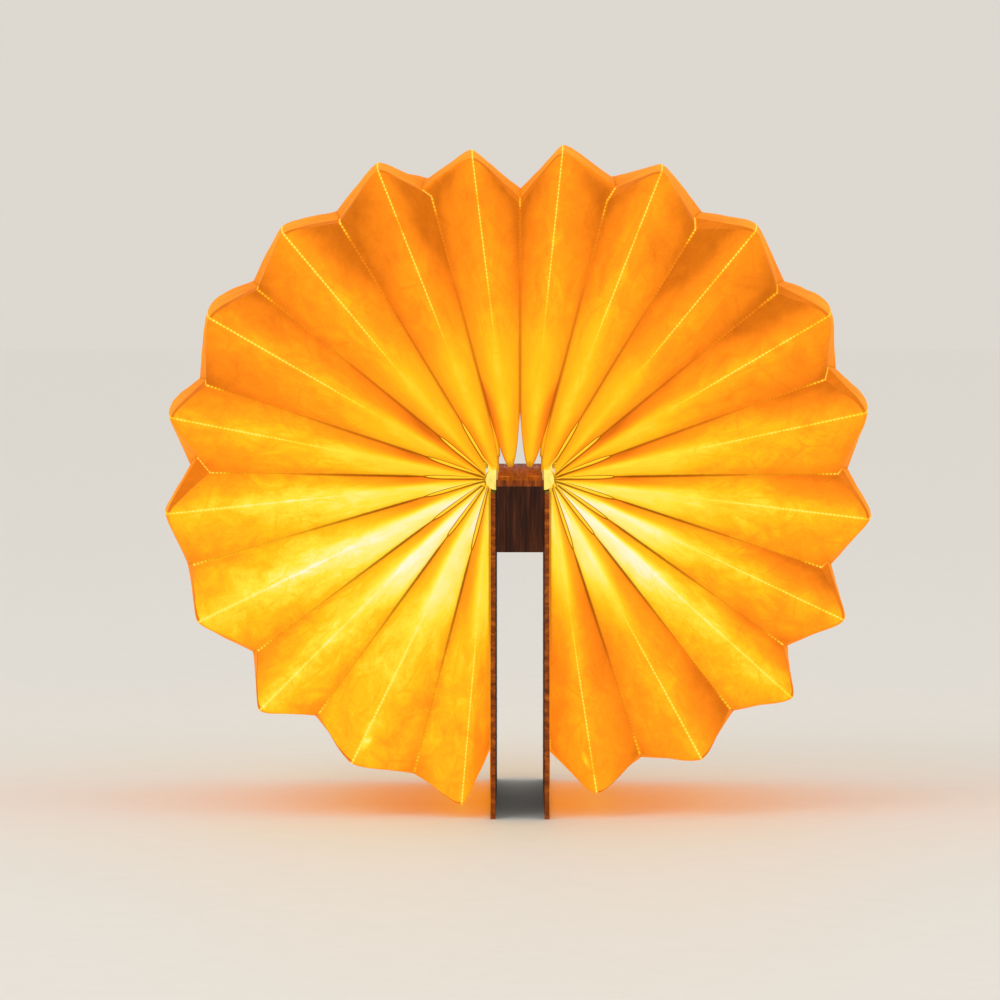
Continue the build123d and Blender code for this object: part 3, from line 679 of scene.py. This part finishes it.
def sheetPoint(side, index, step, column, across, places, crestLength):
    # one point of a pleat's sheet, on the right half of the lamp and its near half
    fan = pleatFan
    (top, radius), (low, lowRadius), (high, highRadius) = places
    angle = fan[side][index]
    toLow, toHigh = low - top, high - top
    half = fan["endSteps"] + fan["tipSteps"] + fan["sideSteps"]
    along = max(0.0, (column - fan["endSteps"]) / (half - fan["endSteps"]))
    tipFold = fan["tipFold"] + fan[side + "Blunt"][index]
    if column <= fan["endSteps"]:
        hubRound = fan["topRound"] if onTop(index) else fan["hubRound"]
        roundness = mix(hubRound, fan["foldRound"], smooth(*fan["foldFrom"], radius))
        roundness = mix(roundness, tipFold, smooth(*fan["tipFrom"], radius))
    else:
        roundness = mix(tipFold, fan["sideRound"], smooth(*fan["sideFrom"], along))
    floorRise = rise(-1.0, roundness)
    span = rise(1.0, roundness) - floorRise
    crown = (rise(0.0, roundness) - floorRise) / span
    # the section is a hyperbola through the crest, so its flanks meet a little further out
    apex = (top - (low + high) * crown) / (1 - 2 * crown)
    if column <= fan["endSteps"]:
        keepFront = smooth(*fan["frontFrom"], radius)
        apex.x = mix(top.x, apex.x, keepFront)
        apex.z = mix(top.z, apex.z, keepFront)
    point = (apex + (low - apex) * (rise(-across, roundness) - floorRise) / span
             + (high - apex) * (rise(across, roundness) - floorRise) / span)
    inward = (toLow + toHigh).normalized()
    base, added, *swellPlace = fan["highSwell"]
    swell = fan["lowSwell"] if across < 0 else base + added * hill(angle, *swellPlace)
    point -= (inward * swell * math.sin(math.pi * abs(across) ** fan["swellSkew"])
              * smooth(*fan["swellFrom"], along))
    if onTop(index):
        forward = Vector((math.sin(math.radians(angle)), 0, -math.cos(math.radians(angle))))
        lag = (abs(across) - abs(across) ** fan["tongue"]) * (1 - smooth(0.0, fan["tongueLong"], crestLength))
        point -= forward * forward.dot(toHigh if across > 0 else toLow) * lag
    # gentle unevenness of the hand-folded sheet, none on its folds
    calm = math.sin(math.pi * min(1.0, abs(across))) * smooth(*fan["ruffleFrom"], radius)
    perPleat, perStep, perPanel = fan["ruffleSteps"]
    share, finer = fan["ruffleFine"]
    seed = Vector((index * perPleat + (fan["leftSeed"] if side == "left" else 0), step * perStep, across * perPanel))
    return point + inward * fan["ruffle"] * calm * (noise.noise(seed) + share * noise.noise(seed * finer))


def pleatColumns(side, index):
    # crest, lower and upper valley in each column, with the sheet's length up to there along each of them
    fan = pleatFan
    crests, valleys = pleatSpokes(side)
    crestFrom = crestStart(crests[index], index)
    starts = [valleyStart(valleys[place][0], place) for place in (index, index + 1)]
    columns, lengths = [], (0.0, 0.0, 0.0)
    for column in range(fan["endSteps"] + fan["tipSteps"] + fan["sideSteps"] + 1):
        places = (crestPoint(crests[index], crestFrom, column),
                  valleyPoint(*valleys[index], starts[0], column),
                  valleyPoint(*valleys[index + 1], starts[1], column))
        if columns:
            lengths = tuple(length + (now[0] - before[0]).length
                            for length, now, before in zip(lengths, places, columns[-1][0]))
        columns.append((places, lengths))
    return columns, crests[index], valleys


def makePleat(side, index):
    fan = pleatFan
    columns, crest, valleys = pleatColumns(side, index)
    half = len(columns) - 1
    name = f"pleat_{side}_{index + 1:02d}"
    flip = -1 if side == "left" else 1
    sheet = bmesh.new()
    bmesh.ops.create_grid(sheet, x_segments=2 * half, y_segments=fan["rows"], size=1.0)
    uv = sheet.loops.layers.uv.new("sheet")
    marks = [sheet.verts.layers.float.new(word) for word in markNames]
    flats, columnOf, acrossOf = {}, {}, {}
    for vert in sheet.verts:
        step = round((vert.co.x + 1) * half)
        across = math.copysign(abs(vert.co.y) ** fan["rowCrowd"], vert.co.y)
        column = min(step, 2 * half - step)
        columnOf[vert.index], acrossOf[vert.index] = column, across
        places, lengths = columns[column]
        point = sheetPoint(side, index, step, column, across, places, lengths[0])
        vert.co = (flip * point.x, -point.y if step > half else point.y, point.z)
        for mark, value in zip(marks, pointMarks(side, index, valleys, column, across, point, places, lengths)):
            vert[mark] = value
        sideLength = lengths[2] if across > 0 else lengths[1]
        flats[vert.index] = (mix(lengths[0], sideLength, abs(across)), across * panel)
    for face in sheet.faces:
        face.smooth = True
        for loop in face.loops:
            loop[uv].uv = flats[loop.vert.index]
    # the corner creases stay crisp on each pleat's upper side
    creased = {fan["endSteps"], fan["endSteps"] + fan["tipSteps"]}
    for edge in sheet.edges:
        if all(columnOf[vert.index] in creased and acrossOf[vert.index] >= 0 for vert in edge.verts):
            edge.smooth = False
    if side == "left":
        bmesh.ops.reverse_faces(sheet, faces=sheet.faces)
    piece = paperPiece("paper_" + name, sheet, fan["thick"], (outerPaper, innerPaper))
    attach(piece, name)
    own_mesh(piece)
    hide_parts(name)


def paperPiece(name, sheet, thick, materials):
    # the sheet as an object, with its thickness added inwards
    mesh = bpy.data.meshes.new(name)
    sheet.to_mesh(mesh)
    sheet.free()
    piece = bpy.data.objects.new(name, mesh)
    bpy.context.scene.collection.objects.link(piece)
    for material in materials:
        mesh.materials.append(material)
    wall = piece.modifiers.new("Sheet thickness", "SOLIDIFY")
    wall.thickness = thick
    wall.offset = -1
    wall.material_offset = wall.material_offset_rim = len(materials) - 1
    return piece


for sideName in ("left", "right"):
    for pleatIndex in range(len(pleatFan[sideName])):
        makePleat(sideName, pleatIndex)
print("pleats folded")

woodLook = {
    "deep": (30, 12, 5),
    "middle": (56, 25, 11),
    "light": (92, 44, 18),
    "poreColour": (20, 8, 3),
    "rings": (5.0, 0.62, 0.3),
    "ringStops": (0.30, 0.50, 0.68),
    "poreSize": 3.4,          # pores are this much finer than the rings
    "pores": (2.0, 0.7),
    "poreFrom": (0.60, 0.68),
    "poreShare": 0.6,
    "roughness": 0.42,
    "roughSpread": 0.2,
    "roughFrom": (0.3, 0.75),
    "gloss": 0.14,
    "relief": (0.00015, 0.4),
    "poreRelief": 0.3,
}


def woodColour(tree, rings, look):
    tones = [srgb(*look[word]) for word in ("deep", "middle", "light")]
    return ramp(tree, rings, list(zip(woodLook["ringStops"], tones)))


def woodMaterial(name, spread, look=woodLook, ends=None):
    material, tree, shader = newMaterial(name)
    rings = clouds(tree, objectPlace(tree, spread), 1.0, *look["rings"])
    pores = clouds(tree, objectPlace(tree, tuple(look["poreSize"] * value for value in spread)), 1.0, *look["pores"])
    colour = woodColour(tree, rings, look)
    if ends:
        away = maths(tree, "ABSOLUTE", addNode(tree, "SeparateXYZ", None, i0=objectPlace(tree)).outputs["Y"])
        atEnd = between(tree, away, ends["inner"], ends["outer"])
        colour = blendColours(tree, atEnd, colour, woodColour(tree, rings, ends))
    poreMask = between(tree, pores, *look["poreFrom"])
    colour = blendColours(tree, maths(tree, "MULTIPLY", poreMask, look["poreShare"]), colour,
                          srgb(*look["poreColour"]))
    tree.links.new(colour, shader.inputs["Base Color"])
    rough = between(tree, pores, *look["roughFrom"], look["roughness"], look["roughness"] + look["roughSpread"])
    tree.links.new(rough, shader.inputs["Roughness"])
    shader.inputs["Specular IOR Level"].default_value = look["gloss"]
    height = maths(tree, "SUBTRACT", rings, maths(tree, "MULTIPLY", poreMask, look["poreRelief"]))
    bump(tree, shader, height, *look["relief"])
    return material


# how closely the grain is packed along x, y and z, on wood that runs along y
spineWood = woodMaterial("Dark walnut, spine", (520.0, 9.0, 26.0))
coverEnds = {    # the covers' thin ends catch the paper's light
    "deep": (98, 40, 4),
    "middle": (146, 66, 8),
    "light": (190, 98, 22),
    "inner": cadBox[1].y - 0.0006,
    "outer": cadBox[1].y - 0.0001,
}
coverWood = woodMaterial("Dark walnut, covers", (160.0, 9.0, 300.0), ends=coverEnds)
# the lid is the same walnut, painted lighter and more orange: painted lamp light from the glowing paper over it
lampLitLidWood = woodMaterial("Walnut, lid, painted lamp light", (420.0, 9.0, 60.0),
                       {**woodLook, "deep": (84, 30, 4), "middle": (138, 60, 10), "light": (178, 90, 24)})


plainLook = {
    "detail": (3.0, 0.6),
    "toneStops": (0.3, 0.7),
    "litBody": (0.16, 0.13, 0.08, 1.0),     # a glowing finish shows little room light
    "roughFrom": (0.25, 0.75),
    "roughSpread": (0.8, 1.25),
    "relief": (0.00004, 0.4),
}


def plainMaterial(name, colour, roughness, metallic, speckle, scale, glow=0.0):
    # a finish with slight tonal variation, worn roughness and fine relief
    look = plainLook
    material, tree, shader = newMaterial(name)
    grain = clouds(tree, objectPlace(tree), scale, *look["detail"])
    dark = tuple(value * (1 - speckle) for value in colour[:3]) + (1.0,)
    light = tuple(min(1.0, value * (1 + speckle)) for value in colour[:3]) + (1.0,)
    tone = ramp(tree, grain, list(zip(look["toneStops"], (dark, light))))
    if glow:
        body = blendColours(tree, 1.0, tone, look["litBody"], "MULTIPLY")
        tree.links.new(body, shader.inputs["Base Color"])
    else:
        tree.links.new(tone, shader.inputs["Base Color"])
    roughLow, roughHigh = (min(1.0, roughness * share) for share in look["roughSpread"])
    rough = between(tree, grain, *look["roughFrom"], roughLow, roughHigh)
    tree.links.new(rough, shader.inputs["Roughness"])
    shader.inputs["Metallic"].default_value = metallic
    if glow:
        tree.links.new(tone, shader.inputs["Emission Color"])
        shader.inputs["Emission Strength"].default_value = glow
    bump(tree, shader, grain, *look["relief"])
    return material


finishes = {
    # colour, roughness, metallic share, speckle, the speckle's scale, and its own glow where it has one
    "brass": plainMaterial("Brushed brass", srgb(196, 152, 78), 0.32, 1.0, 0.10, 1400.0),
    "steel": plainMaterial("Zinc-plated steel", srgb(176, 178, 180), 0.34, 1.0, 0.08, 1600.0),
    "nickel": plainMaterial("Nickel plate", srgb(190, 186, 176), 0.25, 1.0, 0.06, 1200.0),
    "aluminium": plainMaterial("Champagne anodised aluminium", srgb(228, 192, 122), 0.38, 1.0, 0.07, 1500.0),
    "diffuser": plainMaterial("Lit frosted diffuser", srgb(252, 224, 104), 0.5, 0.0, 0.16, 420.0, 0.98),
    "strip": plainMaterial("Light strip", srgb(236, 232, 214), 0.45, 0.0, 0.05, 700.0),
    "cell": plainMaterial("Cell sleeve", srgb(38, 96, 132), 0.35, 0.0, 0.06, 400.0),
    "board": plainMaterial("Circuit board", srgb(24, 84, 48), 0.4, 0.0, 0.15, 1500.0),
    "lead": plainMaterial("Lead insulation", srgb(150, 28, 22), 0.45, 0.0, 0.08, 900.0),
    "plastic": plainMaterial("Black plastic", srgb(26, 26, 27), 0.45, 0.0, 0.12, 1300.0),
}
nodeFinishes = {
    "spine_body": spineWood, "spine_lid": lampLitLidWood,
    "lid_screws": finishes["brass"], "keeper_magnets": finishes["nickel"],
    "battery_cell": finishes["cell"], "battery_contacts": finishes["nickel"],
    "battery_leads": finishes["lead"], "control_board": finishes["board"],
    "usb_socket": finishes["steel"], "opening_sensor": finishes["plastic"],
    "led_leads": finishes["lead"], "sensor_magnet": finishes["nickel"],
}
for sideName in ("left", "right"):
    nodeFinishes.update({
        "cover_" + sideName: coverWood,
        "led_rail_" + sideName: finishes["aluminium"],
        "led_strip_" + sideName: finishes["strip"],
        "light_bar_" + sideName: finishes["diffuser"],
        "spine_brackets_" + sideName: finishes["brass"],
        "spine_bracket_screws_" + sideName: finishes["brass"],
        "hinge_pins_" + sideName: finishes["steel"],
        "cover_leaves_" + sideName: finishes["brass"],
        "cover_leaf_screws_" + sideName: finishes["brass"],
        "cover_magnets_" + sideName: finishes["nickel"],
    })
for nodeName, finish in nodeFinishes.items():
    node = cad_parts[nodeName]
    for slotIndex in range(max(1, len(node.material_slots))):
        if slotIndex < len(node.material_slots):
            node.material_slots[slotIndex].link = "OBJECT"
            node.material_slots[slotIndex].material = finish
        else:
            node.data.materials.append(finish)
print("finishes set")


flapSheet = {
    "columns": 90,
    "rows": 60,
    "thick": 0.0003,
    "waver": 0.00012,         # slight waves in the glued sheet, their pitch and seed, none at its rim
    "waves": (40, 2.0),
    "rim": 0.01,
    "glow": (0.42, 0.2),      # at the fore-edge, and what is added towards the hinge
    "cloudy": 0.7,
}


def makeFlap(side):
    look = flapSheet
    low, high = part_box("shade_flap_" + side)
    inner = low.x if side == "right" else high.x     # the face that is glued to the cover
    flip = 1 if side == "right" else -1
    sheet = bmesh.new()
    bmesh.ops.create_grid(sheet, x_segments=look["columns"], y_segments=look["rows"], size=1.0)
    uv = sheet.loops.layers.uv.new("sheet")
    marks = [sheet.verts.layers.float.new(word) for word in markNames]
    pitch, seed = look["waves"]
    for vert in sheet.verts:
        y = mix(low.y, high.y, (vert.co.x + 1) / 2)
        z = mix(low.z, high.z, (vert.co.y + 1) / 2)
        lift = look["waver"] * (0.5 + 0.5 * noise.noise(Vector((y * pitch, z * pitch, seed))))
        rim = min(y - low.y, high.y - y, z - low.z, high.z - z)
        vert.co = Vector((inner + flip * (look["thick"] + lift * smooth(0, look["rim"], rim)), y, z))
        glow = look["glow"][0] + look["glow"][1] * smooth(low.z, high.z, z)
        # no holes or lines, and far from every fold
        for mark, value in zip(marks, (glow, look["cloudy"], 0.0, 0.0, 1.0, 1.0, 0.0)):
            vert[mark] = value
    for face in sheet.faces:
        face.smooth = True
        for loop in face.loops:
            loop[uv].uv = (loop.vert.co.y, 0.0)
    bmesh.ops.recalc_face_normals(sheet, faces=sheet.faces)
    sheet.faces.ensure_lookup_table()
    if sheet.faces[0].normal.x * flip < 0:
        bmesh.ops.reverse_faces(sheet, faces=sheet.faces)
    piece = paperPiece("paper_flap_" + side, sheet, look["thick"], (outerPaper,))
    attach(piece, "cover_" + side)
    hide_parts("shade_flap_" + side)


for sideName in ("left", "right"):
    makeFlap(sideName)
print("flaps laid")

studio = {
    "floorSize": 12.0,
    "floorColour": srgb(240, 238, 233),
    "floorDark": 0.97,
    "floorGrain": (60.0, 3.0),
    "floorStops": (0.2, 0.8),
    "floorRough": 0.6,
    "skyColour": srgb(236, 233, 228),
    "skyLight": 1.0,
    "skySeen": srgb(221, 216, 208),    # the colour of the far floor
    # each soft light's name, place, size and power
    "lights": (("key", (-1.6, -2.0, 2.4), 1.6, 12.0), ("fill", (2.2, -1.4, 1.6), 1.8, 5.0)),
    "lightTarget": (0, 0, 0.15),
    "cameraPlace": (0.0, -3.004, 0.2915),
    "cameraTurn": (90 - 2.596, 0.0, 0.198),
    "lens": 208.8,
    "sensor": 36.0,
    "farthest": 100.0,
}

floorMesh = bpy.data.meshes.new("floor")
floorBuild = bmesh.new()
bmesh.ops.create_grid(floorBuild, x_segments=1, y_segments=1, size=studio["floorSize"])
floorBuild.to_mesh(floorMesh)
floorBuild.free()
floor = bpy.data.objects.new("floor", floorMesh)
bpy.context.scene.collection.objects.link(floor)
floorMaterial, floorTree, floorShader = newMaterial("Pale floor")
floorGrain = clouds(floorTree, objectPlace(floorTree), *studio["floorGrain"])
floorShade = tuple(studio["floorDark"] * value for value in studio["floorColour"][:3]) + (1.0,)
floorTone = ramp(floorTree, floorGrain, list(zip(studio["floorStops"], (floorShade, studio["floorColour"]))))
floorTree.links.new(floorTone, floorShader.inputs["Base Color"])
floorShader.inputs["Roughness"].default_value = studio["floorRough"]
floorMesh.materials.append(floorMaterial)

world = bpy.data.worlds.new("Studio")
bpy.context.scene.world = world
world.use_nodes = True
skyTree = world.node_tree
sky = skyTree.nodes["Background"]
path = skyTree.nodes.new("ShaderNodeLightPath")
seen = maths(skyTree, "MAXIMUM", maths(skyTree, "MAXIMUM", path.outputs["Is Camera Ray"],
                                       path.outputs["Is Glossy Ray"]), path.outputs["Is Transmission Ray"])
skyTree.links.new(blendColours(skyTree, seen, studio["skyColour"], studio["skySeen"]), sky.inputs["Color"])
sky.inputs["Strength"].default_value = studio["skyLight"]

for name, place, size, power in studio["lights"]:
    data = bpy.data.lights.new(name, "AREA")
    data.size = size
    data.energy = power
    lamp = bpy.data.objects.new(name, data)
    bpy.context.scene.collection.objects.link(lamp)
    lamp.location = place
    lamp.rotation_euler = (Vector(studio["lightTarget"]) - Vector(place)).to_track_quat("-Z", "Y").to_euler()

cameraData = bpy.data.cameras.new("Camera")
cameraData.lens = studio["lens"]
cameraData.sensor_width = studio["sensor"]
cameraData.clip_end = studio["farthest"]
camera = bpy.data.objects.new("Camera", cameraData)
bpy.context.scene.collection.objects.link(camera)
camera.location = studio["cameraPlace"]
camera.rotation_euler = tuple(math.radians(value) for value in studio["cameraTurn"])
bpy.context.scene.camera = camera
bpy.context.scene.view_settings.view_transform = "Standard"
print("studio set")
